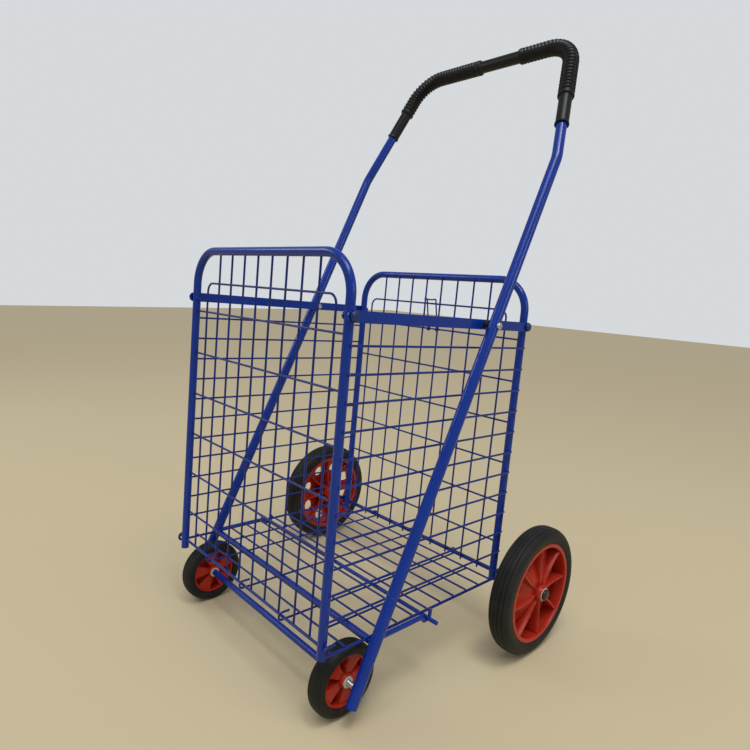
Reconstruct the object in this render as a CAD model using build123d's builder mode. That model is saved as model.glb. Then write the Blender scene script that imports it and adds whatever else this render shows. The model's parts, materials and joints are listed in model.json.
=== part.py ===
from build123d import *
import os
from math import asin, atan2, cos, degrees, hypot, radians, sin, tan

# Folding wire shopping cart: two wire walls and a wire floor hang between side strips, and a bent
# push frame carries the grip at its top and the small front wheels at its foot.
# X runs across the cart, +Y to the rear, Z up, in millimetres.
# The basket is drawn square to its own floor. The last step, stand(), leans the whole cart back
# until the large rear wheels and the small front wheels touch the ground together.

# ---------------------------------------------------------------- driving sizes
# Wire walls: an upturned U of tube, filled with wire
basket_width = 370.0        # between the centres of the left and right legs
basket_depth = 360.0        # between the centres of the front and rear legs
leg_bottom = 91.0
top_tube_height = 581.0
frame_tube_radius = 6.0
frame_tube_wall = 1.0
frame_bend = 50.0
wire_radius = 1.5
row_top = 488.5             # highest horizontal wire of a wall
row_pitch = 66.4
row_count = 6
column_pitch = 34.7
column_count = 8            # upright wires that reach the top tube
loop_inset = 29.0           # a separate loop of wire stands between those columns and the legs
loop_top = 533.0
loop_bend = 13.0
column_drop = 5.0           # how far the upright wires end below the rods

# Rods that carry the floor
rod_height = 106.0          # front floor rod and rear axle, so the fold is a true parallelogram
front_rod_radius = 2.0
axle_radius = 3.5

# Side strips and side wires, outside the legs
strip_height = 509.5
strip_width = 14.0
strip_thickness = 2.0
strip_overhang = 9.0        # past the pivot at each end
side_gap = 0.3              # between a leg and what slides past it
side_wire_count = 11
side_wire_top = 476.5
side_wire_pitch = 33.4
side_wire_bend = 1.7
side_wire_tip = 3.0         # how far a bent end reaches past the leg's centre plane
pivot_bolt_radius = 2.5
bolt_head_radius = 4.5
bolt_head_height = 2.4
bolt_reach = 2.5            # past the strip, into the cap
running = 0.08              # radial clearance of pins that turn in holes
open_fit = 0.35             # radial clearance of the pivots that close the parallelogram
cap_radius = 6.5
cap_height = 4.6

# Floor
rim_gap = 3.0               # between a leg and the floor's side rim
rim_radius = 2.0
hook_gap = 0.25
hook_tail = 11.0
hooked_offsets = (-100.0, 0.0, 100.0)
plain_offset = 149.0
cross_wire_count = 11
cross_wire_pitch = 30.5
weld_sink = 0.2             # how far welded wires sink into each other
support_rod_radius = 3.0
support_rod_y = -6.0
support_rod_tip = 20.0      # past the centre of each catch arm

# Push frame, one bent tube in a leaning plane
push_radius = 8.0
push_wall = 1.2
push_foot = (-142.6, 21.5)  # Y and Z of the open lower ends
push_lean = 23.55           # degrees back from upright
push_gap = 5.7              # between a side strip and a push tube, filled by the bush
push_kink = 809.0           # along the tube, where it turns inwards
push_top = 1031.0           # along the lean, centre of the handle bar
handle_inset = 48.2         # how far the handle's sharp corner stands inside the push tube
kink_bend = 60.0
handle_bend = 55.0
foot_axle_height = 42.0
cross_tube_radius = 5.0
cross_tube_wall = 1.0
cross_tube_height = 93.0     # its top stays just under the floor's rims
cross_tube_setback = 5.0    # behind the centre of the push tube
pivot_screw_radius = 3.0
pivot_head_radius = 5.0
pivot_head_height = 3.4
pivot_nut_height = 3.2
bush_radius = 6.0

# Grip, a ribbed plastic sleeve
grip_fit = 0.1              # between the sleeve and the tube
grip_wall = 1.9
grip_rib_height = 3.0
grip_shift = 20.0           # the sleeve sits off centre, towards +X
grip_centre_half = 42.0
grip_rib_leg = 52.2         # the ribs' reach round the handle's corners, if the sleeve sat centred
grip_cuff = 53.0

# Catch arms behind the push tubes
catch_inset = 4.0           # from the centre of the push tube
catch_radius = 3.5
catch_height = 98.5
catch_plate = 3.0
catch_slot = 4.1            # half the width of the slot that the support rod drops into

# Wheels
rear_wheel_radius = 100.0
rear_wheel_width = 34.0
rear_wheel_gap = 48.0       # between a rear leg and its wheel's hub
rear_rim_radius = 78.0
rear_hub_radius = 13.0
rear_hub_width = 40.0
rear_rim_band = 6.5
rear_rim_half = 16.0
rear_vane_count = 8
rear_vane_turn = 3.0        # degrees, where the first vane stands
rear_vane_half = 12.0
rear_vane_thickness = 2.5
rear_hole_place = 54.0      # from the centre to the middle of a hole
rear_hole_radius = 10.5
front_wheel_radius = 50.0
front_wheel_width = 25.0
front_hub_step = 1.5        # how far the hub ends inside the tyre's width
front_wheel_gap = 12.0      # between a push tube and its wheel's hub
front_rim_radius = 36.0
front_hub_radius = 10.0
front_rim_band = 3.5
front_rim_half = 9.0
front_panel_count = 5
front_panel_turn = 60.0
front_panel_half = 6.5
front_axle_radius = 4.0
spacer_radius = 5.0
washer_thickness = 1.6
washer_radius = 7.5
rear_cap_radius = 8.5
rear_cap_height = 5.5
rear_axle_tip = 4.0         # how far the axle stands out of the hub, inside the cap
collar_radius = 7.5
collar_length = 4.6
tyre_groove_width = 1.2
tyre_groove_depth = 1.5
rim_web = 3.0

# Wire latch on the rear wall
latch_radius = 1.25
latch_half_width = 10.0
latch_x = 4.0
latch_height = 54.0
latch_lean = 12.0
latch_nose = 8.0
latch_eye_wall = 2.4

# ---------------------------------------------------------------- worked-out places
half_width = basket_width / 2
front_y = -basket_depth / 2
rear_y = basket_depth / 2
leg_face = half_width + frame_tube_radius
strip_x = leg_face + side_gap + strip_thickness / 2
side_wire_x = leg_face + side_gap + wire_radius
strip_face = leg_face + side_gap + strip_thickness
hook_radius = axle_radius + hook_gap + wire_radius
rim_hook_radius = axle_radius + hook_gap + rim_radius
floor_z = rod_height - hook_radius
rim_z = rod_height - rim_hook_radius
cross_wire_z = floor_z + 2 * wire_radius - weld_sink
support_rod_z = rim_z - rim_radius - support_rod_radius
loop_half_width = half_width - loop_inset
rim_half_width = leg_face + rim_gap + rim_radius
push_inner = strip_face + push_gap
push_half_width = push_inner + push_radius
handle_half_width = push_half_width - handle_inset
catch_x = push_half_width - catch_inset
support_rod_half_length = catch_x + support_rod_tip
grip_rib_run = handle_half_width + grip_rib_leg
grip_radius = push_radius + grip_fit + grip_wall
grip_rib_radius = grip_radius + grip_rib_height
rear_wheel_x = leg_face + rear_wheel_gap + rear_hub_width / 2
front_hub_half = front_wheel_width / 2 - front_hub_step
front_wheel_x = push_inner - front_wheel_gap - front_hub_half
row_heights = [row_top - i * row_pitch for i in range(row_count)]
columns = [(i - (column_count - 1) / 2) * column_pitch for i in range(column_count)]
column_foot = rod_height - column_drop
side_wire_heights = [side_wire_top - i * side_wire_pitch for i in range(side_wire_count)]
cross_wires = [(i - (cross_wire_count - 1) / 2) * cross_wire_pitch for i in range(cross_wire_count)]


def push_y(height):
    """Y of the push tube's centre line at a height."""
    return push_foot[0] + (height - push_foot[1]) * tan(radians(push_lean))


handle_pivot_y = push_y(strip_height)
foot_axle_y = push_y(foot_axle_height)
cross_tube_y = push_y(cross_tube_height) + cross_tube_setback
push_plane = Plane(
    origin=(0, *push_foot),
    x_dir=(1, 0, 0),
    z_dir=(0, -cos(radians(push_lean)), sin(radians(push_lean))),
)

# Lean of the square basket that stands all four wheels on level ground
wheel_base = hypot(rear_y - foot_axle_y, rod_height - foot_axle_height)
cart_lean = degrees(
    atan2(rod_height - foot_axle_height, rear_y - foot_axle_y)
    - asin((rear_wheel_radius - front_wheel_radius) / wheel_base)
)


def leaned(y, z):
    """Where a point of the square cart comes to when the cart is leaned back about the X axis."""
    turn = radians(cart_lean)
    return (y * cos(turn) + z * sin(turn), z * cos(turn) - y * sin(turn))


handle_y = push_foot[0] + push_top * sin(radians(push_lean))
handle_z = push_foot[1] + push_top * cos(radians(push_lean))
front_reach = leaned(foot_axle_y, foot_axle_height)[0] - front_wheel_radius
rear_reach = leaned(handle_y, handle_z)[0] + grip_rib_radius
stance_shift = -(front_reach + rear_reach) / 2
stance_lift = rear_wheel_radius - leaned(rear_y, rod_height)[1]


def stand(part):
    """Lean a part back, set its wheels on the ground and centre the cart over the origin."""
    return part.rotate(Axis.X, -cart_lean).translate((0, stance_shift, stance_lift))


os.makedirs("parts", exist_ok=True)


def keep(part, name):
    """Stand a finished piece on the ground, label it and write it out."""
    piece = stand(part)
    piece.label = name
    export_step(piece, f"parts/{name}.step")


def bent_tube(plane, corners, bends, outer, wall):
    """Round hollow tube, or a solid bar when wall is None, bent along corners in a plane."""
    with BuildPart() as tube:
        with BuildLine(plane) as route:
            FilletPolyline(*corners, radius=bends)
        with BuildSketch(Plane(origin=route.line @ 0, z_dir=route.line % 0)):
            Circle(outer)
            if wall is not None:
                Circle(outer - wall, mode=Mode.SUBTRACT)
        sweep(path=route.line)
    return tube.part


def bar_along_x(x_from, x_to, y, z, radius, bore=None):
    """Round bar along X, hollow when a bore is given."""
    with BuildPart() as bar:
        with BuildSketch(Plane.YZ.offset(x_from)):
            with Locations((y, z)):
                Circle(radius)
                if bore is not None:
                    Circle(bore, mode=Mode.SUBTRACT)
        extrude(amount=x_to - x_from)
    return bar.part


def both_sides(part):
    """A part and its mirror image across the middle of the cart."""
    with BuildPart() as pair:
        add(part)
        mirror(about=Plane.YZ)
    return pair.part


# ---------------------------------------------------------------- wire walls
def upturned_u(y, half_span, foot, top, bend, outer, wall=None):
    """Tube or wire bent like a croquet hoop in the upright plane at y."""
    plane = Plane(origin=(0, y, 0), x_dir=(1, 0, 0), z_dir=(0, -1, 0))
    corners = [(-half_span, foot), (-half_span, top), (half_span, top), (half_span, foot)]
    return bent_tube(plane, corners, bend, outer, wall)


def wall_tube(y, side_hole, rod_hole):
    """Upturned U of tube, drilled for the pivots, the side wires and the rod or axle."""
    with BuildPart() as wall:
        add(
            upturned_u(
                y,
                half_width,
                leg_bottom,
                top_tube_height,
                frame_bend,
                frame_tube_radius,
                frame_tube_wall,
            )
        )
        with Locations((0, y, strip_height)):
            Cylinder(
                pivot_bolt_radius + running, 3 * basket_width, rotation=(0, 90, 0), mode=Mode.SUBTRACT
            )
        with Locations((0, y, rod_height)):
            Cylinder(rod_hole, 3 * basket_width, rotation=(0, 90, 0), mode=Mode.SUBTRACT)
        with Locations([(side * leg_face, y, z) for side in (-1, 1) for z in side_wire_heights]):
            Cylinder(side_hole, frame_tube_radius, rotation=(0, 90, 0), mode=Mode.SUBTRACT)
    return wall.part


def wall_mesh(y, inward, rod_radius):
    """Welded wires of a wall: upright columns inside, rows against them, and the outer loop."""
    column_y = y + inward * (rod_radius + wire_radius)
    row_y = column_y - inward * (2 * wire_radius - weld_sink)
    loop = upturned_u(
        column_y, loop_half_width, column_foot, loop_top, loop_bend, wire_radius
    )
    solid_tube = upturned_u(
        y, half_width, leg_bottom, top_tube_height, frame_bend, frame_tube_radius
    )
    with BuildPart() as mesh:
        with BuildSketch(Plane.XY.offset(column_foot)):
            with Locations([(x, column_y) for x in columns]):
                Circle(wire_radius)
        extrude(amount=top_tube_height - column_foot)
        with BuildSketch(Plane.YZ.offset(-half_width)):
            with Locations([(row_y, z) for z in row_heights]):
                Circle(wire_radius)
        extrude(amount=basket_width)
        add(loop)
        add(solid_tube, mode=Mode.SUBTRACT)
    return mesh.part


keep(wall_tube(front_y, wire_radius + open_fit, front_rod_radius + running), "front_wall_tube")
keep(wall_tube(rear_y, wire_radius + running, axle_radius + running), "rear_wall_tube")
keep(wall_mesh(front_y, 1, front_rod_radius), "front_wall_mesh")
keep(wall_mesh(rear_y, -1, axle_radius), "rear_wall_mesh")

# ---------------------------------------------------------------- front floor rod and rear axle
front_rod_end = push_inner - 0.8
with BuildPart() as front_rod:
    add(bar_along_x(-front_rod_end, front_rod_end, front_y, rod_height, front_rod_radius))
keep(front_rod.part, "front_floor_rod")

rear_hub_inner = rear_wheel_x - rear_hub_width / 2
rear_hub_outer = rear_wheel_x + rear_hub_width / 2
axle_end = rear_hub_outer + rear_axle_tip
with BuildPart() as rear_axle:
    add(bar_along_x(-axle_end, axle_end, rear_y, rod_height, axle_radius))
keep(rear_axle.part, "rear_axle")


# ---------------------------------------------------------------- strip pivots
def pivot_bolts(y):
    """Rivet through each leg and strip, with a flat head inside the leg."""
    head_x = half_width - frame_tube_radius - bolt_head_height - 0.1
    with BuildPart() as bolt:
        add(bar_along_x(head_x, strip_face + bolt_reach, y, strip_height, pivot_bolt_radius))
        add(bar_along_x(head_x, head_x + bolt_head_height, y, strip_height, bolt_head_radius))
    return both_sides(bolt.part)


def pivot_caps(y):
    """Domed plastic cap pushed on the outer end of each rivet."""
    base = strip_face + 0.2
    with BuildPart() as cap:
        with BuildSketch(Plane(origin=(base, y, strip_height), x_dir=(0, 1, 0), z_dir=(1, 0, 0))):
            Circle(cap_radius)
        extrude(amount=cap_height)
        fillet(cap.faces().sort_by(Axis.X)[-1].edges(), radius=0.6 * cap_height)
        with Locations((base, y, strip_height)):
            Cylinder(
                pivot_bolt_radius + running, 2 * bolt_reach, rotation=(0, 90, 0), mode=Mode.SUBTRACT
            )
    return both_sides(cap.part)


for end_name, end_y in (("front", front_y), ("rear", rear_y)):
    keep(pivot_bolts(end_y), f"{end_name}_pivot_bolts")
    keep(pivot_caps(end_y), f"{end_name}_pivot_caps")


# ---------------------------------------------------------------- side strips and side wires
def side_strip(side):
    """Flat bar with round ends and three pivot holes."""
    start = side * (leg_face + side_gap)
    with BuildPart() as strip:
        with BuildSketch(Plane.YZ.offset(start)):
            with Locations((0, strip_height)):
                SlotOverall(basket_depth + 2 * strip_overhang, strip_width)
            with Locations((front_y, strip_height), (rear_y, strip_height)):
                Circle(pivot_bolt_radius + running, mode=Mode.SUBTRACT)
            with Locations((handle_pivot_y, strip_height)):
                Circle(pivot_screw_radius + running, mode=Mode.SUBTRACT)
        extrude(amount=side * strip_thickness)
    return strip.part


keep(side_strip(-1), "side_strip_left")
keep(side_strip(1), "side_strip_right")

with BuildPart() as handle_bush:
    add(
        bar_along_x(
            strip_face + 0.05,
            push_inner - 0.3,
            handle_pivot_y,
            strip_height,
            bush_radius,
            pivot_screw_radius + running,
        )
    )
keep(both_sides(handle_bush.part), "handle_bushes")


def side_wire(height):
    """Left and right wires of one level, with ends bent into the legs."""
    tip = half_width - side_wire_tip
    corners = [(tip, rear_y), (side_wire_x, rear_y), (side_wire_x, front_y), (tip, front_y)]
    plane = Plane.XY.offset(height)
    return both_sides(bent_tube(plane, corners, side_wire_bend, wire_radius, None))


for number, wire_height in enumerate(side_wire_heights, start=1):
    keep(side_wire(wire_height), f"side_wires_{number:02d}")

# ---------------------------------------------------------------- floor
with BuildPart() as floor_mesh:
    hooked = [(x, wire_radius, hook_radius) for x in hooked_offsets]
    rims = [(side * rim_half_width, rim_radius, rim_hook_radius) for side in (-1, 1)]
    for x, radius, hook in hooked + rims:
        with BuildLine(Plane.YZ.offset(x)) as wire:
            Line((front_y + hook_tail, rod_height + hook), (front_y, rod_height + hook))
            ThreePointArc(
                (front_y, rod_height + hook),
                (front_y - hook, rod_height),
                (front_y, rod_height - hook),
            )
            Line((front_y, rod_height - hook), (rear_y, rod_height - hook))
            ThreePointArc(
                (rear_y, rod_height - hook),
                (rear_y + hook, rod_height),
                (rear_y, rod_height + hook),
            )
            Line((rear_y, rod_height + hook), (rear_y - hook_tail, rod_height + hook))
        with BuildSketch(Plane(origin=wire.line @ 0, z_dir=wire.line % 0)):
            Circle(radius)
        sweep(path=wire.line)
    plain_end = cross_wires[-1] + 2 * wire_radius
    with BuildSketch(Plane.XZ.offset(-plain_end)):
        with Locations((-plain_offset, floor_z), (plain_offset, floor_z)):
            Circle(wire_radius)
    extrude(amount=2 * plain_end)
    with BuildSketch(Plane.YZ.offset(-rim_half_width)):
        with Locations([(y, cross_wire_z) for y in cross_wires]):
            Circle(wire_radius)
    extrude(amount=2 * rim_half_width)
keep(floor_mesh.part, "floor_mesh")

with BuildPart() as support_rod:
    add(
        bar_along_x(
            -support_rod_half_length,
            support_rod_half_length,
            support_rod_y,
            support_rod_z,
            support_rod_radius,
        )
    )
    fillet(support_rod.edges(), radius=0.8)
keep(support_rod.part, "floor_support_rod")

# ---------------------------------------------------------------- push frame
push_corners = [
    (-push_half_width, 0),
    (-push_half_width, push_kink),
    (-handle_half_width, push_top),
    (handle_half_width, push_top),
    (push_half_width, push_kink),
    (push_half_width, 0),
]
push_bends = [kink_bend, handle_bend, handle_bend, kink_bend]
push_solid = bent_tube(push_plane, push_corners, push_bends, push_radius, None)
with BuildPart() as push_tube:
    add(bent_tube(push_plane, push_corners, push_bends, push_radius, push_wall))
    with Locations((0, handle_pivot_y, strip_height)):
        Cylinder(
            pivot_screw_radius + running, 3 * basket_width, rotation=(0, 90, 0), mode=Mode.SUBTRACT
        )
    axle_hole = 2 * (push_half_width + push_radius - push_wall - 0.4)
    with Locations((0, foot_axle_y, foot_axle_height)):
        Cylinder(front_axle_radius + running, axle_hole, rotation=(0, 90, 0), mode=Mode.SUBTRACT)
keep(push_tube.part, "push_tube")

cross_tube_half = catch_x - catch_radius - 0.05
with BuildPart() as cross_tube:
    add(
        bar_along_x(
            -cross_tube_half,
            cross_tube_half,
            cross_tube_y,
            cross_tube_height,
            cross_tube_radius,
            cross_tube_radius - cross_tube_wall,
        )
    )
    add(push_solid, mode=Mode.SUBTRACT)
keep(cross_tube.part, "cross_tube")

# Screw through push tube, bush and strip: pan head outside, nut inside the strip
nut_x = leg_face + side_gap - 0.2
with BuildPart() as pivot_screw:
    add(
        bar_along_x(
            nut_x - pivot_nut_height - 0.3,
            push_half_width + push_radius + 1,
            handle_pivot_y,
            strip_height,
            pivot_screw_radius,
        )
    )
    screw_head_plane = Plane(
        origin=(push_half_width + push_radius + 0.1, handle_pivot_y, strip_height),
        x_dir=(0, 1, 0),
        z_dir=(1, 0, 0),
    )
    with BuildSketch(screw_head_plane):
        Circle(pivot_head_radius)
    extrude(amount=pivot_head_height)
    fillet(pivot_screw.faces().sort_by(Axis.X)[-1].edges(), radius=1.6)
    with BuildSketch(Plane(origin=(nut_x, handle_pivot_y, strip_height), z_dir=(-1, 0, 0))):
        RegularPolygon(pivot_head_radius, 6)
    extrude(amount=pivot_nut_height)
keep(both_sides(pivot_screw.part), "handle_pivot_screws")

# ---------------------------------------------------------------- grip
leg_run = hypot(push_half_width - handle_half_width, push_top - push_kink)
leg_turn = ((push_half_width - handle_half_width) / leg_run, (push_kink - push_top) / leg_run)


def down_leg(side, run):
    """Point on the push frame's plane, a run below the sharp corner of the handle."""
    return (side * (handle_half_width + leg_turn[0] * run), push_top + leg_turn[1] * run)


rib_from = [(side, grip_shift + side * grip_centre_half) for side in (-1, 1)]
rib_leg_run = {side: grip_rib_run - (handle_half_width - side * start) for side, start in rib_from}
sleeve_corners = [
    down_leg(-1, rib_leg_run[-1] + grip_cuff),
    (-handle_half_width, push_top),
    (handle_half_width, push_top),
    down_leg(1, rib_leg_run[1] + grip_cuff),
]
with BuildPart() as grip:
    add(bent_tube(push_plane, sleeve_corners, handle_bend, grip_radius, grip_wall))
    for side, start in rib_from:
        rib_corners = [
            (start, push_top),
            (side * handle_half_width, push_top),
            down_leg(side, rib_leg_run[side]),
        ]
        wall = grip_rib_height + 1
        add(bent_tube(push_plane, rib_corners, handle_bend, grip_rib_radius, wall))
keep(grip.part, "grip_sleeve")

# ---------------------------------------------------------------- catch arms
catch_front = push_y(catch_height)
catch_plate_front = support_rod_y - 14.0
catch_plate_rear = support_rod_y + 9.5
slot_floor = support_rod_z - support_rod_radius - 0.3
slot_y = support_rod_y + 0.7
with BuildPart() as catch_arm:
    with BuildSketch(Plane.XZ.offset(-catch_front)):
        with Locations((catch_x, catch_height)):
            Circle(catch_radius)
    extrude(amount=-(catch_plate_front + 3 - catch_front))
    with BuildSketch(Plane.YZ.offset(catch_x - catch_plate / 2)):
        with BuildLine():
            Polyline(
                (catch_plate_front, catch_height - 3),
                (slot_y - catch_slot - 2, slot_floor - 3),
                (slot_y + catch_slot + 1, slot_floor - 3),
                (catch_plate_rear, slot_floor + 2),
                (catch_plate_rear, catch_height + 6),
                (slot_y + catch_slot, catch_height + 8),
                (slot_y + catch_slot, slot_floor),
                (slot_y - catch_slot, slot_floor),
                (slot_y - catch_slot, catch_height + 3.5),
                (catch_plate_front, catch_height + 3.5),
                close=True,
            )
        make_face()
    extrude(amount=catch_plate)
    add(push_solid, mode=Mode.SUBTRACT)
catch_solid = catch_arm.part.solids().sort_by(SortBy.VOLUME)[-1]
keep(Part() + catch_solid, "catch_arm_right")
keep(mirror(catch_solid, about=Plane.YZ), "catch_arm_left")

# ---------------------------------------------------------------- front axle
front_axle_end = push_half_width + push_radius - push_wall - 0.6
with BuildPart() as front_axle:
    add(
        bar_along_x(-front_axle_end, front_axle_end, foot_axle_y, foot_axle_height, front_axle_radius)
    )
keep(front_axle.part, "front_axle")

spacer_end = front_wheel_x - front_hub_half - washer_thickness - 0.5
with BuildPart() as axle_spacer:
    add(
        bar_along_x(
            -spacer_end,
            spacer_end,
            foot_axle_y,
            foot_axle_height,
            spacer_radius,
            front_axle_radius + running,
        )
    )
keep(axle_spacer.part, "front_axle_spacer")

with BuildPart() as front_washers:
    for washer_x in (spacer_end + 0.2, front_wheel_x + front_hub_half + 0.3):
        add(
            bar_along_x(
                washer_x,
                washer_x + washer_thickness,
                foot_axle_y,
                foot_axle_height,
                washer_radius,
                front_axle_radius + running,
            )
        )
keep(both_sides(front_washers.part), "front_axle_washers")

# ---------------------------------------------------------------- wheels
def tyre(x, y, z, width, outer, inner, groove_count):
    """Solid rubber tyre with rounded shoulders and grooves round the tread."""
    half = width / 2
    shoulder = 0.30 * width
    with BuildPart() as ring:
        with BuildSketch(Plane(origin=(x, y, z), x_dir=(1, 0, 0), z_dir=(0, -1, 0))) as section:
            with Locations((0, (outer + inner) / 2)):
                Rectangle(width, outer - inner)
            fillet(section.vertices().sort_by(Axis.Y)[-2:], radius=shoulder)
            tread = width - 2 * shoulder
            with Locations((0, outer)):
                with GridLocations(tread / groove_count, 0, groove_count, 1):
                    Rectangle(tyre_groove_width, 2 * tyre_groove_depth, mode=Mode.SUBTRACT)
        revolve(axis=Axis((x, y, z), (1, 0, 0)))
    return ring.part


def wheel_disc(centre, rim, band, half_rim, hub, half_hub, bore):
    """Plastic wheel without its spokes: hub, thin web and outer band."""
    x, y, z = centre
    with BuildPart() as disc:
        for radius_in, radius_out, half in (
            (bore, hub, half_hub),
            (hub - 1, rim - 1, rim_web / 2),
            (rim - band, rim, half_rim),
        ):
            with BuildSketch(Plane(origin=(x - half, y, z), x_dir=(0, 1, 0), z_dir=(1, 0, 0))):
                Circle(radius_out)
                Circle(radius_in, mode=Mode.SUBTRACT)
            extrude(amount=2 * half)
    return disc.part


def rear_rim(centre):
    """Large wheel: eight tall thin vanes, and a round hole through the web in each pocket."""
    face = Plane(origin=centre, x_dir=(0, 1, 0), z_dir=(1, 0, 0))
    hole_turn = rear_vane_turn + 180 / rear_vane_count
    with BuildPart() as wheel:
        add(
            wheel_disc(
                centre,
                rear_rim_radius,
                rear_rim_band,
                rear_rim_half,
                rear_hub_radius,
                rear_hub_width / 2,
                axle_radius + running,
            )
        )
        with BuildSketch(face.offset(-rear_vane_half)):
            vane_run = rear_rim_radius - rear_rim_band - rear_hub_radius
            with PolarLocations(rear_hub_radius + vane_run / 2, rear_vane_count, rear_vane_turn):
                Rectangle(vane_run + 2, rear_vane_thickness)
        extrude(amount=2 * rear_vane_half)
        with BuildSketch(face.offset(-rim_web)):
            with PolarLocations(rear_hole_place, rear_vane_count, hole_turn):
                Circle(rear_hole_radius)
        extrude(amount=2 * rim_web, mode=Mode.SUBTRACT)
    return wheel.part


def front_rim(centre):
    """Small wheel: five raised wedge panels between five pockets."""
    face = Plane(origin=centre, x_dir=(0, 1, 0), z_dir=(1, 0, 0))
    half_turn = radians(90 / front_panel_count)
    inner = front_hub_radius - 0.5
    outer = (front_rim_radius - front_rim_band + 0.5) / cos(half_turn)
    with BuildPart() as wheel:
        add(
            wheel_disc(
                centre,
                front_rim_radius,
                front_rim_band,
                front_rim_half,
                front_hub_radius,
                front_hub_half,
                front_axle_radius + running,
            )
        )
        with BuildSketch(face.offset(-front_panel_half)):
            with PolarLocations(0, front_panel_count, front_panel_turn):
                Polygon(
                    (inner * cos(half_turn), -inner * sin(half_turn)),
                    (outer * cos(half_turn), -outer * sin(half_turn)),
                    (outer * cos(half_turn), outer * sin(half_turn)),
                    (inner * cos(half_turn), inner * sin(half_turn)),
                    align=None,
                )
        extrude(amount=2 * front_panel_half)
    return wheel.part


for side, side_name in ((-1, "left"), (1, "right")):
    rear_centre = (side * rear_wheel_x, rear_y, rod_height)
    front_centre = (side * front_wheel_x, foot_axle_y, foot_axle_height)
    keep(
        tyre(*rear_centre, rear_wheel_width, rear_wheel_radius, rear_rim_radius, 4),
        f"rear_tyre_{side_name}",
    )
    keep(rear_rim(rear_centre), f"rear_rim_{side_name}")
    keep(
        tyre(*front_centre, front_wheel_width, front_wheel_radius, front_rim_radius, 3),
        f"front_tyre_{side_name}",
    )
    keep(front_rim(front_centre), f"front_rim_{side_name}")

# Collars that keep the rear wheels off the legs, and caps on the axle's ends
with BuildPart() as axle_collar:
    add(
        bar_along_x(
            rear_hub_inner - 0.4 - collar_length,
            rear_hub_inner - 0.4,
            rear_y,
            rod_height,
            collar_radius,
            axle_radius + running,
        )
    )
keep(both_sides(axle_collar.part), "rear_axle_collars")

with BuildPart() as axle_cap:
    cap_plane = Plane(
        origin=(rear_hub_outer + 0.4, rear_y, rod_height), x_dir=(0, 1, 0), z_dir=(1, 0, 0)
    )
    with BuildSketch(cap_plane):
        Circle(rear_cap_radius)
    extrude(amount=rear_cap_height)
    fillet(axle_cap.faces().sort_by(Axis.X)[-1].edges(), radius=0.4 * rear_cap_height)
    with BuildSketch(cap_plane):
        Circle(axle_radius + running)
    extrude(amount=axle_end - rear_hub_outer, mode=Mode.SUBTRACT)
keep(both_sides(axle_cap.part), "rear_axle_caps")

# ---------------------------------------------------------------- wire latch on the rear wall
latch_y = rear_y - (axle_radius + wire_radius) + 2 * wire_radius - weld_sink
latch_plane = Plane(
    origin=(latch_x, latch_y, row_top),
    x_dir=(1, 0, 0),
    z_dir=(0, -cos(radians(latch_lean)), -sin(radians(latch_lean))),
)
latch_corners = [
    (side * latch_half_width, up, out)
    for side, up, out in (
        (-1, wire_radius + 1, 0),
        (-1, latch_height, 0),
        (-1, latch_height, latch_nose),
        (1, latch_height, latch_nose),
        (1, latch_height, 0),
        (1, wire_radius + 1, 0),
    )
]
eye_half = latch_radius + 0.3
with BuildPart() as latch:
    with BuildLine() as latch_wire:
        FilletPolyline(*[latch_plane.from_local_coords(corner) for corner in latch_corners], radius=2.5)
    with BuildSketch(Plane(origin=latch_wire.line @ 0, z_dir=latch_wire.line % 0)):
        Circle(latch_radius)
    sweep(path=latch_wire.line)
    for side in (-1, 1):
        with BuildSketch(Plane.YZ.offset(latch_x + side * latch_half_width - eye_half)):
            with Locations((latch_y, row_top)):
                Circle(wire_radius + latch_eye_wall)
        extrude(amount=2 * eye_half)
    with Locations((latch_x, latch_y, row_top)):
        Cylinder(wire_radius + running, 4 * latch_half_width, rotation=(0, 90, 0), mode=Mode.SUBTRACT)
keep(latch.part, "wire_latch")
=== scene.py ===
import json
import math

import bmesh
import bpy
import numpy as np
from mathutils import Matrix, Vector


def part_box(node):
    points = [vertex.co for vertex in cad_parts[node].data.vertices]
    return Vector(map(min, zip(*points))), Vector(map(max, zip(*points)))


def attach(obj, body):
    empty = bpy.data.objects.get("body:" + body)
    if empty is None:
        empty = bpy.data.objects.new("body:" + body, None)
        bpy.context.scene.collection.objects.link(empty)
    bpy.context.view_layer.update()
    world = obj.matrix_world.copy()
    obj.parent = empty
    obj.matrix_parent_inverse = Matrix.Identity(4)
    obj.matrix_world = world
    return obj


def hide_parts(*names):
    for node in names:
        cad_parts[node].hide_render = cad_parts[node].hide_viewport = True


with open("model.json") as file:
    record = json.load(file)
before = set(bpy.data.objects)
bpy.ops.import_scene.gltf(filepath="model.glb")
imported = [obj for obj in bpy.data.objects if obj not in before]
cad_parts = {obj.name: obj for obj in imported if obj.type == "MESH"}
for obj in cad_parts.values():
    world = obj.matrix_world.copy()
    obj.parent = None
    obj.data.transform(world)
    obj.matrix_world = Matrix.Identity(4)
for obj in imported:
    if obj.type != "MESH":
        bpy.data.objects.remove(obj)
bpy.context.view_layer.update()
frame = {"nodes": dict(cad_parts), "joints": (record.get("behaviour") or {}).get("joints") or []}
NODES = frame["nodes"]
PLACE = {joint["name"]: np.array(joint["pos_m"]) for joint in frame["joints"]}
MM = 0.001

# ---------------------------------------------------------------- camera, floor and light
# The cart stands on a plain pale floor. It is seen from in front, to its right and a little above,
# with a moderately wide lens held slightly tilted, as a hand holds it.
camera_data = bpy.data.cameras.new("camera")
camera_data.lens = 27.19
camera_data.sensor_width = 36.0
camera = bpy.data.objects.new("camera", camera_data)
camera.location = (0.66776, -0.64915, 0.55736)
camera.rotation_euler = [math.radians(turn) for turn in (80.772, -3.263, 46.572)]
bpy.context.scene.collection.objects.link(camera)
bpy.context.scene.camera = camera
bpy.context.scene.view_settings.view_transform = "Standard"


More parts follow.
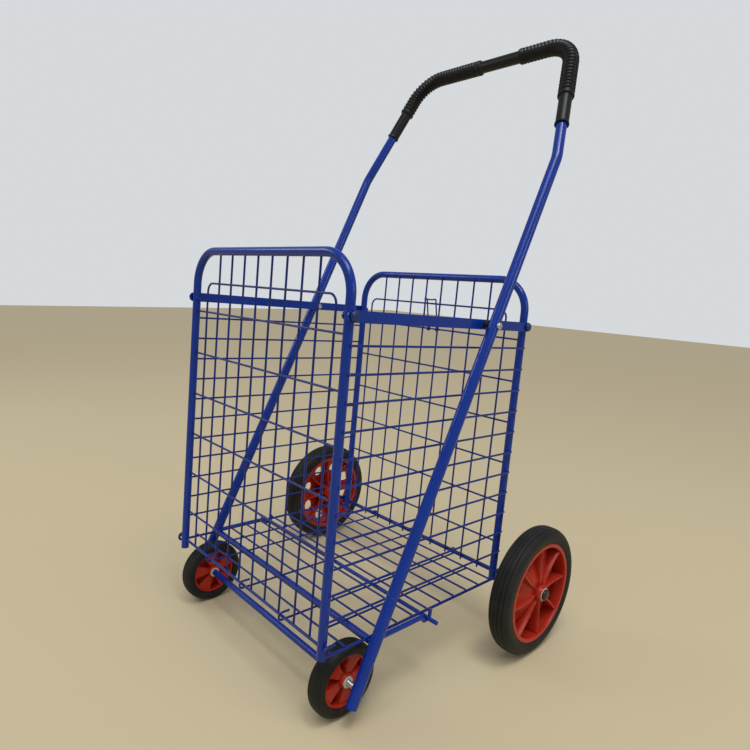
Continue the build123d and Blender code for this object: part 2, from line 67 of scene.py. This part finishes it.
class Value:
    """A node's output that adds Math nodes to its material when it is calculated with."""

    def __init__(self, kit, socket):
        self.kit = kit
        self.socket = socket

    def maths(self, operation, other):
        """This value and another number or value, put through one Math node."""
        return self.kit.node("ShaderNodeMath", {"operation": operation}, [self, other])

    def __add__(self, other):
        return self.maths("ADD", other)

    def __mul__(self, other):
        return self.maths("MULTIPLY", other)

    __radd__ = __add__

    def step(self, low, high):
        """0 below low, 1 above high, smooth between."""
        return self.kit.node(
            "ShaderNodeMapRange",
            {"interpolation_type": "SMOOTHSTEP"},
            {"Value": self, "From Min": low, "From Max": high},
        )


class Finish:
    """One material: its Principled shader, and a method that adds any other node."""

    def __init__(self, name, colour, **constants):
        self.material = bpy.data.materials.new(name)
        self.material.use_nodes = True
        self.tree = self.material.node_tree
        self.shader = self.tree.nodes["Principled BSDF"]
        self.shader.inputs["Base Color"].default_value = (*colour, 1)
        for socket, value in constants.items():
            self.shader.inputs[socket.replace("_", " ")].default_value = value

    def node(self, kind, settings, values, output=0):
        """Add a node, with its settings and with numbers or values in its inputs."""
        made = self.tree.nodes.new(kind)
        for key, value in settings.items():
            setattr(made, key, value)
        pairs = values.items() if isinstance(values, dict) else enumerate(values)
        for key, value in pairs:
            if isinstance(value, Value):
                self.tree.links.new(value.socket, made.inputs[key])
            else:
                made.inputs[key].default_value = value
        return Value(self, made.outputs[output])

    def place(self):
        """Object coordinates, in metres in the cart's own frame."""
        return self.node("ShaderNodeTexCoord", {}, {}, "Object")

    def noise(self, scale, detail):
        """Soft random pattern from 0 to 1; scale is in waves per metre."""
        values = {"Scale": scale, "Detail": detail, "Roughness": 0.5, "Vector": self.place()}
        return self.node("ShaderNodeTexNoise", {"noise_dimensions": "3D"}, values)

    def mix(self, share, first, second):
        """Colour between first and second."""
        made = self.tree.nodes.new("ShaderNodeMix")
        made.data_type = "RGBA"
        for socket, value in ((0, share), (6, first), (7, second)):
            if isinstance(value, Value):
                self.tree.links.new(value.socket, made.inputs[socket])
            elif socket == 0:
                made.inputs[socket].default_value = value
            else:
                made.inputs[socket].default_value = (*value, 1)
        return Value(self, made.outputs[2])

    def bump(self, height, depth, strength):
        """Relief, depth metres deep, into the shader's Normal."""
        relief = self.node(
            "ShaderNodeBump", {}, {"Height": height, "Distance": depth, "Strength": strength}
        )
        self.tree.links.new(relief.socket, self.shader.inputs["Normal"])

    def feed(self, **links):
        """Link values to the shader's inputs, named with _ for a space."""
        for socket, value in links.items():
            self.tree.links.new(value.socket, self.shader.inputs[socket.replace("_", " ")])


def new_object(name, vertices, faces):
    """Mesh object from arrays of points and of quads, shaded smooth."""
    mesh = bpy.data.meshes.new(name)
    mesh.from_pydata(vertices.tolist(), [], faces.tolist())
    mesh.polygons.foreach_set("use_smooth", np.ones(len(mesh.polygons), bool))
    mesh.update()
    made = bpy.data.objects.new(name, mesh)
    bpy.context.scene.collection.objects.link(made)
    return made


floor_half = 8.0
corner = np.array([[-1, -1, 0], [1, -1, 0], [1, 1, 0], [-1, 1, 0]]) * floor_half
floor = new_object("floor", corner, np.array([[0, 1, 2, 3]]))
floor_finish = Finish("floor_finish", (0.62, 0.52, 0.33), Roughness=0.7)
floor.data.materials.append(floor_finish.material)

world = bpy.data.worlds.new("room")
world.use_nodes = True
room = world.node_tree.nodes["Background"]
room.inputs["Color"].default_value = (0.94, 0.97, 1.0, 1)
behind = world.node_tree.nodes.new("ShaderNodeLightPath")
strength = world.node_tree.nodes.new("ShaderNodeMapRange")
strength.inputs["To Min"].default_value = 0.36
strength.inputs["To Max"].default_value = 0.72
world.node_tree.links.new(behind.outputs["Is Camera Ray"], strength.inputs["Value"])
world.node_tree.links.new(strength.outputs["Result"], room.inputs["Strength"])
bpy.context.scene.world = world


def lamp(name, place, aim, size, power):
    """Square soft light that points from place to aim."""
    data = bpy.data.lights.new(name, "AREA")
    data.size = size
    data.energy = power
    made = bpy.data.objects.new(name, data)
    made.location = place
    made.rotation_euler = (Vector(aim) - Vector(place)).to_track_quat("-Z", "Y").to_euler()
    bpy.context.scene.collection.objects.link(made)


sky_data = bpy.data.lights.new("ceiling_glow", "SUN")
sky_data.energy = 1.1
sky_data.angle = math.radians(40)
sky = bpy.data.objects.new("ceiling_glow", sky_data)
sky.rotation_euler = (math.radians(18), math.radians(14), 0)
bpy.context.scene.collection.objects.link(sky)
lamp("ceiling_light", (0.9, -0.3, 2.4), (0, 0, 0.3), 0.6, 12)
lamp("window_light", (-1.7, -1.3, 1.7), (0, 0, 0.4), 0.8, 8)
lamp("side_light", (2.3, 0.6, 1.3), (0, 0.1, 0.4), 0.7, 6)

# ---------------------------------------------------------------- painted tubes
# The walls' hoops, the push tube and its braces are cold-drawn steel tube, dipped or sprayed in one
# glossy deep blue coat. Its tone drifts slowly, and faint rub marks are scattered over it at
# random.


def blue_coat(name, colour, deep, gloss):
    """Blue paint: slow change of shade, orange-peel relief, and faint rub marks."""
    paint = Finish(name, colour, Coat_Weight=0.15, Coat_Roughness=0.06, Specular_IOR_Level=0.3)
    cloud = paint.noise(14.0, 3.0)
    rub = paint.noise(170.0, 5.0).step(0.62, 0.78)
    paint.feed(Base_Color=paint.mix(rub * 0.18, paint.mix(cloud, deep, colour), (0.03, 0.07, 0.36)))
    paint.feed(Roughness=gloss + rub * 0.22 + cloud * 0.06)
    peel = paint.noise(420.0, 2.0) + paint.noise(1500.0, 1.0) * 0.35
    paint.bump(peel, 0.00012, 0.5)
    return paint.material


tube_paint = blue_coat("tube_paint", (0.002, 0.038, 0.34), (0.0015, 0.022, 0.23), 0.22)


def coat(material, *names):
    """Give CAD nodes one material."""
    for name in names:
        NODES[name].data.materials.clear()
        NODES[name].data.materials.append(material)


coat(tube_paint, "front_wall_tube", "rear_wall_tube", "push_tube", "cross_tube")
coat(tube_paint, "catch_arm_left", "catch_arm_right", "front_axle_spacer")
coat(tube_paint, "side_strip_left", "side_strip_right", "floor_support_rod")
coat(tube_paint, "front_pivot_bolts", "rear_pivot_bolts")

# ---------------------------------------------------------------- welded wires
# Walls, floor and side wires are 3 mm drawn wire, spot-welded at every crossing and painted with
# the tubes. Their copy of the blue is rougher, and its colour is darkened as painted shade; the
# front rod, rear axle and latch take it too.
wire_paint_painted_shade = blue_coat("wire_paint_painted_shade", (0.003, 0.026, 0.24), (0.002, 0.014, 0.14), 0.30)
coat(wire_paint_painted_shade, "front_wall_mesh", "rear_wall_mesh", "floor_mesh", "wire_latch")
coat(wire_paint_painted_shade, "front_floor_rod", "rear_axle")
coat(wire_paint_painted_shade, *[name for name in NODES if name.startswith("side_wires_")])

# ---------------------------------------------------------------- zinc screws and collars
# The handle's pivot screws and the rear axle's collars are steel with a thin bright zinc plating.
# The front axle, further down, has the same plating.
zinc = Finish("zinc_plate", (0.62, 0.62, 0.60), Metallic=1.0)
bloom = zinc.noise(260.0, 4.0)
zinc.feed(Base_Color=zinc.mix(bloom, (0.46, 0.46, 0.45), (0.74, 0.74, 0.72)))
zinc.feed(Roughness=bloom * 0.30 + 0.18)
zinc.bump(zinc.noise(900.0, 2.0), 0.0001, 0.4)
coat(zinc.material, "handle_pivot_screws")
coat(zinc.material, "rear_axle_collars")


def clean(made):
    """Merge doubled points and turn every face outwards."""
    work = bmesh.new()
    work.from_mesh(made.data)
    bmesh.ops.remove_doubles(work, verts=work.verts, dist=1e-6)
    bmesh.ops.dissolve_degenerate(work, edges=work.edges, dist=1e-7)
    bmesh.ops.recalc_face_normals(work, faces=work.faces)
    work.to_mesh(made.data)
    work.free()
    made.data.polygons.foreach_set("use_smooth", np.ones(len(made.data.polygons), bool))
    made.data.update()
    return made


def quads(rows, columns, wrap_rows):
    """Corner numbers of the quads between neighbouring rows of a grid, closed round its columns."""
    row = np.arange(rows if wrap_rows else rows - 1)[:, None]
    column = np.arange(columns)[None, :]
    above, beside = (row + 1) % rows, (column + 1) % columns
    return np.stack(
        [
            row * columns + column,
            row * columns + beside,
            above * columns + beside,
            above * columns + column,
        ],
        -1,
    ).reshape(-1, 4)


def from_grids(name, grids, material, body, wrap_rows=False):
    """One piece from several grids of points in millimetres about the cart's origin."""
    points, faces, start = [], [], 0
    for grid in grids:
        points.append(grid.reshape(-1, 3) * MM)
        faces.append(quads(*grid.shape[:2], wrap_rows) + start)
        start += grid.shape[0] * grid.shape[1]
    made = clean(new_object(name, np.concatenate(points), np.concatenate(faces)))
    made.data.materials.append(material)
    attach(made, body)
    return made


def revolved(centre, profile, count):
    """Surface of revolution about the line along X through centre.

    Each row of the profile is (x, r); its ring is centre + (x, r cos a, r sin a). A profile that
    ends where it starts is a closed ring, and a radius of 0 is a pole.
    """
    angle = np.arange(count) * 2 * math.pi / count
    x, r = np.asarray(profile, float).T[:, :, None]
    ring = np.stack([x + 0 * angle, r * np.cos(angle), r * np.sin(angle)], -1)
    return ring + centre


def rounded(profile, radius):
    """Round the corners of a closed (x, r) profile.

    Each corner becomes a quadratic curve of four points, between points radius away along its two
    sides, or 0.45 of a shorter side.
    """
    corner = np.asarray(profile, float)
    before, after = np.roll(corner, 1, 0) - corner, np.roll(corner, -1, 0) - corner
    reach = [
        side * np.minimum(0.45, radius / np.linalg.norm(side, axis=1))[:, None]
        for side in (before, after)
    ]
    share = np.linspace(0, 1, 4)[None, :, None]
    start, middle, end = (corner + reach[0])[:, None], corner[:, None], (corner + reach[1])[:, None]
    curve = start * (1 - share) ** 2 + 2 * middle * share * (1 - share) + end * share**2
    loop = curve.reshape(-1, 2)
    return np.concatenate([loop, loop[:1]])


# ---------------------------------------------------------------- strip pivot caps
# Each strip is riveted to a leg, and a dark blue moulded cap with a domed face is pushed over the
# rivet's outer end.
cap_plastic = Finish("cap_plastic", (0.006, 0.024, 0.13), Roughness=0.28)
cap_plastic.feed(Roughness=cap_plastic.noise(300.0, 3.0) * 0.16 + 0.22)
cap_plastic.bump(cap_plastic.noise(1200.0, 2.0), 0.00005, 0.4)


def domes(node, joint_name, inner_face, radius, material, body):
    """Left and right caps in a node's place, from its inner face in X to its outer face.

    The straight skirt takes up 0.35 of the depth d. From there, for a from 0 to a quarter turn,
    x = d (0.35 + 0.65 sin a) and r = radius cos(a) to the power 0.55.
    """
    outer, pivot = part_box(node)[1].x / MM, PLACE[joint_name] / MM
    depth = outer - inner_face
    turn = np.linspace(0, math.pi / 2, 12)
    skirt_share, squareness = 0.35, 0.55
    skirt = [(0, 0), (0, radius)]
    rise = depth * (skirt_share + (1 - skirt_share) * np.sin(turn))
    dome = np.column_stack([rise, radius * np.cos(turn) ** squareness])
    profile = np.concatenate([skirt, dome])
    profile[-1, 1] = 0
    grids = []
    for side in (-1, 1):
        cap = revolved((0, pivot[1], pivot[2]), profile, 48)
        cap[..., 0] = side * (cap[..., 0] + outer - depth)
        grids.append(cap)
    made = from_grids(node + "_domed", grids, material, body)
    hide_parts(node)


strip_face, cap_radius = 193.5, 6.5
for node, joint_name, body in (
    ("rear_pivot_caps", "fold", "rear_frame"),
    ("front_pivot_caps", "front_wall_hinge", "front_wall"),
):
    domes(node, joint_name, strip_face, cap_radius, cap_plastic.material, body)

# ---------------------------------------------------------------- handle bushes and pivot screws
# A black turned nylon bush keeps the push tube off each strip. The zinc pan-head screw through
# both is a plain CAD solid.
black_plastic = Finish("black_plastic", (0.012, 0.012, 0.013), Roughness=0.35)
black_plastic.feed(Roughness=black_plastic.noise(400.0, 3.0) * 0.2 + 0.24)
black_plastic.bump(black_plastic.noise(1100.0, 2.0), 0.00006, 0.5)
coat(black_plastic.material, "handle_bushes")

# ---------------------------------------------------------------- grip
# One black soft-plastic sleeve is pushed over the handle: smooth cuffs with a rolled lip on the
# legs, two corrugated lengths round the corners, which end in wider collars, and a smooth middle.
grip_shift = 20.0  # the sleeve sits off centre, towards +X
grip_centre_half, rib_run, cuff_run = 42.0, 211.0, 53.0
bore_radius, smooth_radius, valley_radius, crest_radius = 8.15, 10.1, 10.9, 12.9
rib_pitch, rib_sharpness = 6.6, 0.7
collar_place, collar_end_place, collar_half, collar_slope = 2.5, 3.5, 3.2, 1.6
lip_radius, lip_fall, lip_width = 11.1, 1.0, 3.0
handle_radius, handle_half, leg_half = 8.0, 158.8, 207.0
handle_run, kink_run, bend = 1031.0, 809.0, 55.0

foot = PLACE["front_wheel_right_spin"] / MM
rise = PLACE["push_frame_hinge"] / MM - foot
rise = rise * (0, 1, 1) / np.linalg.norm(rise[1:])
handle_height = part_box("push_tube")[1].z / MM - handle_radius
foot_run = handle_run - (handle_height - foot[2]) / rise[2]


def on_push_plane(across, along):
    """Points of the push frame's leaning plane: across along X, along up the tube from its foot."""
    return (
        np.array([0, foot[1], foot[2]])
        + across[..., None] * (1, 0, 0)
        + (along - foot_run)[..., None] * rise
    )


def handle_route(step):
    """The sleeve's line, in the plane, every step millimetres: straight runs and 55 mm bends.

    A bend replaces the corner between unit directions p and q by the arc that touches both.
    """
    lean = math.atan2(leg_half - handle_half, handle_run - kink_run)
    down = np.array([math.sin(lean), -math.cos(lean)])
    turn = math.pi / 2 - lean
    trim = bend * math.tan(turn / 2)
    run = {}
    for side in (-1, 1):
        run[side] = rib_run - (handle_half - side * grip_shift - grip_centre_half) + cuff_run
    arc = bend * turn
    lengths = [run[-1] - trim, arc, 2 * (handle_half - trim), arc, run[1] - trim]
    ends = np.concatenate([[0], np.cumsum(lengths)])
    s = np.linspace(0, ends[-1], int(ends[-1] / step) + 1)
    t = s - ends[2] - lengths[2] / 2
    middle = lengths[2] / 2
    side = np.sign(t)
    past = np.clip(np.abs(t) - middle, 0, arc)
    after = np.maximum(np.abs(t) - middle - arc, 0)
    angle = past / bend
    across = np.minimum(np.abs(t), middle) + bend * np.sin(angle) + after * down[0]
    along = handle_run - bend * (1 - np.cos(angle)) + after * down[1]
    tangent = np.column_stack([np.cos(angle), -side * np.sin(angle)])
    return s, t, np.column_stack([side * across, along]), tangent


route_s, route_t, route_points, route_tangent = handle_route(0.55)
lengthwise = np.abs(route_t - grip_shift)
half = np.where(route_t < grip_shift, lengthwise[0], lengthwise[-1]) - cuff_run
in_rib = (lengthwise > grip_centre_half) & (lengthwise < half)
wave = 0.5 + 0.5 * np.cos(2 * math.pi * (lengthwise - grip_centre_half) / rib_pitch)
ribbed = valley_radius + (crest_radius - valley_radius) * wave**rib_sharpness
sleeve = np.where(in_rib, ribbed, smooth_radius)
collar = np.minimum(
    np.abs(lengthwise - grip_centre_half - collar_place),
    np.abs(lengthwise - half + collar_end_place),
)
collar_radius = crest_radius - collar_slope * (collar / collar_half) ** 4
sleeve = np.where(collar < collar_half, collar_radius, sleeve)
to_end = np.minimum(route_s, route_s[-1] - route_s)
rolled = lip_radius - lip_fall * np.clip(to_end / lip_width, 0, 1) ** 3
sleeve = np.where(to_end < lip_width, rolled, sleeve)
round_count = 40
around = np.arange(round_count) * 2 * math.pi / round_count
centre = on_push_plane(route_points[:, 0], route_points[:, 1])
ahead = route_tangent[:, :1] * np.array([1, 0, 0]) + route_tangent[:, 1:] * rise
outward = np.cross(ahead, np.cross(rise, (1, 0, 0)))
flat = np.cross(outward, ahead)


def tube_round(centre, outward, flat, radius):
    """Rings of a radius round the points of a line: c + r (cos a u + sin a v)."""
    swing = outward[:, None] * np.cos(around)[:, None] + flat[:, None] * np.sin(around)[:, None]
    return centre[:, None] + radius[:, None, None] * swing


skin = tube_round(centre, outward, flat, sleeve)
bore = np.full(len(centre), bore_radius)
mouth_left = tube_round(centre[:1], outward[:1], flat[:1], bore[:1])
mouth_right = tube_round(centre[-1:], outward[-1:], flat[-1:], bore[:1])
inside = tube_round(centre[::-8], outward[::-8], flat[::-8], bore[::-8])
grip_black = Finish("grip_black", (0.006, 0.006, 0.007), Roughness=0.3, Specular_IOR_Level=0.25)
grain = grip_black.noise(260.0, 4.0)
grip_black.feed(Base_Color=grip_black.mix(grain, (0.004, 0.004, 0.005), (0.011, 0.011, 0.012)))
grip_black.feed(Roughness=grain * 0.2 + 0.26)
grip_black.bump(grip_black.noise(900.0, 3.0), 0.00008, 0.5)
grip = from_grids(
    "grip_ribbed",
    [np.concatenate([mouth_left, skin, mouth_right, inside])],
    grip_black.material,
    "push_frame",
    wrap_rows=True,
)
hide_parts("grip_sleeve")

# ---------------------------------------------------------------- rear wheels
# Solid black rubber tyres with five tread ribs sit on glossy red moulded wheels. The wheel's web
# is a cone, at the outer face by the hub and far back by the rim, so its eight vanes grow taller
# outwards. Each pocket has a round hole. A black push-on cap and a pale washer end the axle.
rubber = Finish("tyre_rubber", (0.009, 0.010, 0.009), Roughness=0.6, Specular_IOR_Level=0.25)
dust = rubber.noise(30.0, 5.0)
dusty = dust.step(0.4, 0.75) * 0.6
rubber.feed(Base_Color=rubber.mix(dusty, (0.008, 0.009, 0.008), (0.028, 0.028, 0.025)))
rubber.feed(Roughness=dust * 0.25 + 0.42)
rubber.bump(rubber.noise(500.0, 4.0), 0.00025, 0.5)


def tyre(wheel, half_width, outer, inner, grooves, groove_width, groove_depth, shoulder):
    """Closed ring: the tread's radius falls away at the shoulders as a power curve, less a
    cosine-shaped groove at each groove place, and the side walls come in to the rim."""
    x = np.linspace(-half_width, half_width, 121)
    edge = np.clip((np.abs(x) - (half_width - shoulder)) / shoulder, 0, 1)
    tread = outer - 0.8 * shoulder * (1 - np.sqrt(np.maximum(1 - edge**2.2, 0)))
    for place in grooves:
        near = np.clip(np.abs(x - place) / groove_width, 0, 1)
        tread = tread - groove_depth * (0.5 + 0.5 * np.cos(math.pi * near))
    wall = [
        (half_width, inner + 0.30 * (outer - inner)),
        (half_width - 0.8, inner + 0.22 * (outer - inner)),
        (half_width - 0.9, inner + 0.05 * (outer - inner)),
        (half_width - 1.6, inner),
    ]
    wall_back = [(-a, b) for a, b in reversed(wall)]
    profile = np.concatenate([np.column_stack([x, tread]), wall, wall_back, [(x[0], tread[0])]])
    return revolved(PLACE[wheel + "_spin"] / MM, profile, 128)


red = Finish("wheel_red", (0.40, 0.022, 0.009), Roughness=0.3, Specular_IOR_Level=0.25)
flow = red.noise(22.0, 3.0)
red.feed(Base_Color=red.mix(flow, (0.34, 0.016, 0.008), (0.48, 0.032, 0.013)))
red.feed(Roughness=red.noise(180.0, 4.0) * 0.22 + 0.14)
red.bump(red.noise(700.0, 2.0), 0.00006, 0.4)
pale = Finish("pale_washer", (0.62, 0.58, 0.52), Roughness=0.45)
pale.feed(Roughness=pale.noise(300.0, 3.0) * 0.2 + 0.35)
pale.bump(pale.noise(900.0, 2.0), 0.00005, 0.4)

hub_radius, rim_inner, rim_outer, rim_half = 13.0, 71.5, 78.0, 16.0
web_at_hub, web_at_rim, web_half_thickness, web_hole_bevel = 11.5, -7, 1.3, 0.5
vane_count, vane_first, vane_half_thickness, vane_bow = 8, math.radians(3), 1.2, 2.0
hole_place, hole_radius = 54.0, 10.5
weld = 1.0  # how far web and vanes reach into the hub and the rim


def web_place(r):
    """How far the conical web stands towards the outer face: it falls evenly with the radius."""
    return web_at_hub + (r - hub_radius) * (web_at_rim - web_at_hub) / (rim_inner - hub_radius)


def web_pocket(number):
    """One eighth of the web with its hole, as a closed plate.

    Rays from the hole's middle, at h from the axle, run to the nearest of the two vane lines, the
    hub and the rim. A ray at angle a meets a circle of radius q at -h cos a, plus or minus the root
    of (h cos a) squared - h squared + q squared. Points go from the hole's edge to there, on the
    front face and back again on the rear face.
    """
    pitch = 2 * math.pi / vane_count
    middle = vane_first + (number + 0.5) * pitch
    ray = np.linspace(0, 2 * math.pi, 96, endpoint=False)
    c, s = np.cos(ray), np.sin(ray)
    never, tiny = 1e9, 1e-6
    beyond = (hole_place * c) ** 2 - hole_place**2 + (rim_inner + weld) ** 2
    within = (hole_place * c) ** 2 - hole_place**2 + (hub_radius - weld) ** 2
    to_hub = -hole_place * c - np.sqrt(np.maximum(within, 0))
    reach = [hole_place * -c + np.sqrt(beyond), np.where((within > 0) & (c < 0), to_hub, never)]
    for way in (-1, 1):
        across = way * s * math.cos(pitch / 2) - c * math.sin(pitch / 2)
        gap = hole_place * math.sin(pitch / 2)
        reach.append(np.where(across > tiny, gap / np.maximum(across, tiny), never))
    reach = np.min(reach, 0)
    share = np.array([0, 0.04, 0.1, 0.3, 0.6, 1.0])[:, None]
    run = hole_radius + share * (reach - hole_radius)
    local_x, local_y = hole_place + run * c, run * s
    r = np.hypot(local_x, local_y)
    angle = np.arctan2(local_y, local_x) + middle
    thickness = web_half_thickness - web_hole_bevel * (share == 0)
    front = np.stack([web_place(r) + thickness, r * np.cos(angle), r * np.sin(angle)], -1)
    back = np.stack([web_place(r) - thickness, r * np.cos(angle), r * np.sin(angle)], -1)
    return np.concatenate([front, back[::-1]])


def vane(number):
    """Thin wall from hub to rim, bowed sideways as half a sine wave.

    Its section is a flat bar across the wheel's width, bevelled at its two free edges. The front
    edge stands 13.5 out at the hub and 14.5 at the rim; the back edge runs behind the web.
    """
    r = np.linspace(hub_radius - weld, rim_inner + weld, 24)
    share = (r - r[0]) / (r[-1] - r[0])
    front = 13.5 + share
    back = np.minimum(web_place(r) - 2, -13 + 2 * share)
    bow = vane_bow * np.sin(math.pi * share)
    bevel, flat_share = 0.5, 0.55
    one_side = [(1, -1), (1, 0), (1, 1), (flat_share, 1)]
    front_and_far_side = [(-flat_share, 1), (-1, 1), (-1, 0)]
    loop = np.array([(-1, -1), (-flat_share, -1), (flat_share, -1), *one_side, *front_and_far_side])
    edge = bevel * (np.abs(loop[:, 0] * loop[:, 1]) == 1)
    middle, tall = (front + back)[:, None] / 2, (front - back)[:, None] / 2
    x = middle + loop[:, 1] * (tall - edge)
    y = bow[:, None] + loop[:, 0] * vane_half_thickness
    angle = vane_first + number * 2 * math.pi / vane_count
    along = r[:, None] + 0 * y
    c, s = math.cos(angle), math.sin(angle)
    turned = np.stack([x, along * c - y * s, along * s + y * c], -1)
    cap = turned.mean(1, keepdims=True)
    return np.concatenate([cap[:1].repeat(len(loop), 1), turned, cap[-1:].repeat(len(loop), 1)])


rim_section = rounded(
    [
        (-rim_half, rim_outer - 0.4), (-rim_half, rim_inner + 0.6), (-12.5, rim_inner),
        (-7.5, rim_inner + 0.8), (12.5, rim_inner), (rim_half, rim_inner + 0.6),
        (rim_half, rim_outer - 0.4), (14, rim_outer), (-14, rim_outer),
    ],
    0.7,
)
hub_half, hub_bore = 20, 4.0
hub_section = rounded(
    [
        (-hub_half, hub_bore), (-hub_half, 12), (-17, hub_radius),
        (15, hub_radius), (hub_half, 11.8), (hub_half, hub_bore),
    ],
    1.0,
)
tread_grooves = (-9.6, -3.2, 3.2, 9.6)
for side, name in ((-1, "left"), (1, "right")):
    wheel = f"rear_wheel_{name}"
    rubber_ring = from_grids(
        f"rear_tyre_ribbed_{name}",
        [tyre(wheel, 17.0, 100.0, rim_outer - 0.1, tread_grooves, 1.5, 1.5, 14.0)],
        rubber.material, wheel,
    )
    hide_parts(f"rear_tyre_{name}")
    parts = [revolved((0, 0, 0), section, 128) for section in (rim_section, hub_section)]
    parts += [vane(number) for number in range(vane_count)]
    pockets = [web_pocket(number) for number in range(vane_count)]
    parts += [np.concatenate([pocket, pocket[:1]]) for pocket in pockets]
    outwards = np.array([side, 1, 1])
    grids = [part * outwards + PLACE[wheel + "_spin"] / MM for part in parts]
    disc = from_grids(f"rear_rim_vaned_{name}", grids, red.material, wheel)
    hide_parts(f"rear_rim_{name}")

axle_cap_face, axle_cap_radius = 280.2, 8.4
domes(
    "rear_axle_caps", "floor_hinge", axle_cap_face, axle_cap_radius,
    black_plastic.material, "rear_frame",
)
washer_faces, washer_bore, washer_radius = (279.3, 280.1), 3.7, 9.6
near, far = washer_faces
washer_section = rounded(
    [(near, washer_bore), (near, washer_radius), (far, washer_radius), (far, washer_bore)], 0.2
)
axle_middle = PLACE["floor_hinge"] / MM * (0, 1, 1)
washers = [revolved(axle_middle, washer_section * (side, 1), 64) for side in (-1, 1)]
from_grids("rear_axle_washers", washers, pale.material, "rear_frame")

# ---------------------------------------------------------------- front wheels
# Smaller wheels of the same rubber and red plastic. Their web steps forward in five wedge panels
# and back in five pockets. They turn on a threaded rod between pale plastic washers.
front_hub, front_inner, front_outer = 10.0, 32.5, 36.0
panel_count, panel_first = 5, math.radians(60)
web_low, web_step, web_half, wall_shift = -6.5, 12.5, 1.0, 4.5


def stepped_web():
    """Thin web whose place along the axle steps up and down five times round.

    With w = r cos(5 (angle - first)), its place is low + step clip((0.9 w + shift + 0.6) / 1.2).
    The rear face's shift is the opposite of the front's, so that the walls have thickness too.
    """
    angle = np.linspace(0, 2 * math.pi, 361)[:-1]
    r = np.array([front_hub - weld, front_hub + weld, 14, 20, 26, 31, front_inner + weld])

    def height(shift):
        phase = (angle - panel_first) * panel_count
        wide = np.cos(phase)[None, :] * r[:, None]
        return web_low + web_step * np.clip((wide * 0.9 + shift + 0.6) / 1.2, 0, 1)

    faces = []
    for shift, offset in ((wall_shift, web_half), (-wall_shift, -web_half)):
        x = height(shift) + offset
        grid = np.stack([x, r[:, None] * np.cos(angle), r[:, None] * np.sin(angle)], -1)
        faces.append(grid)
    return np.concatenate([faces[0], faces[1][::-1], faces[0][:1]])


front_rim_half, front_hub_half, front_bore = 9, 11, 4.3
front_rim_section = rounded(
    [
        (-front_rim_half, front_outer), (-front_rim_half, front_inner + 0.4),
        (-7, front_inner - 0.3), (7, front_inner - 0.3),
        (front_rim_half, front_inner + 0.4), (front_rim_half, front_outer),
    ],
    0.6,
)
front_hub_section = rounded(
    [
        (-front_hub_half, front_bore), (-front_hub_half, front_hub - 0.8), (-9, front_hub),
        (9, front_hub), (front_hub_half, front_hub - 0.8), (front_hub_half, front_bore),
    ],
    0.5,
)
tread_grooves = (-5.2, -1.8, 1.8, 5.2)
for side, name in ((-1, "left"), (1, "right")):
    wheel = f"front_wheel_{name}"
    rubber_ring = from_grids(
        f"front_tyre_ribbed_{name}",
        [tyre(wheel, 12.5, 50.0, front_outer - 0.1, tread_grooves, 0.9, 0.9, 9.0)],
        rubber.material, wheel,
    )
    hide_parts(f"front_tyre_{name}")
    parts = [revolved((0, 0, 0), section, 96) for section in (front_rim_section, front_hub_section)]
    parts.append(stepped_web())
    grids = [part * np.array([side, 1, 1]) + PLACE[wheel + "_spin"] / MM for part in parts]
    disc = from_grids(f"front_rim_stepped_{name}", grids, red.material, wheel)
    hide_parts(f"front_rim_{name}")
coat(pale.material, "front_axle_washers")

# The rod's ends carry a rolled thread: its radius falls by a triangle wave of x and angle.
end_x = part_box("front_axle")[1].x / MM
thread_start, thread_pitch, thread_depth, thread_radius = 185.0, 1.5, 0.55, 3.95
threaded = np.arange(thread_start, end_x - 0.5, thread_pitch / 6)
x = np.concatenate([-threaded[::-1], threaded])
angle = np.arange(24) * 2 * math.pi / 24
tooth = np.abs((x[:, None] / thread_pitch + angle / (2 * math.pi)) % 1 * 2 - 1)
radius = thread_radius - thread_depth * tooth
rod = np.stack([x[:, None] + 0 * angle, radius * np.cos(angle), radius * np.sin(angle)], -1)
pole_left, pole_right = rod[:1] * (1, 0, 0), rod[-1:] * (1, 0, 0)
axle_middle = PLACE["front_wheel_right_spin"] / MM * (0, 1, 1)
rod = np.concatenate([pole_left, rod, pole_right]) + axle_middle
axle = from_grids("front_axle_threaded", [rod], zinc.material, "push_frame")
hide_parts("front_axle")
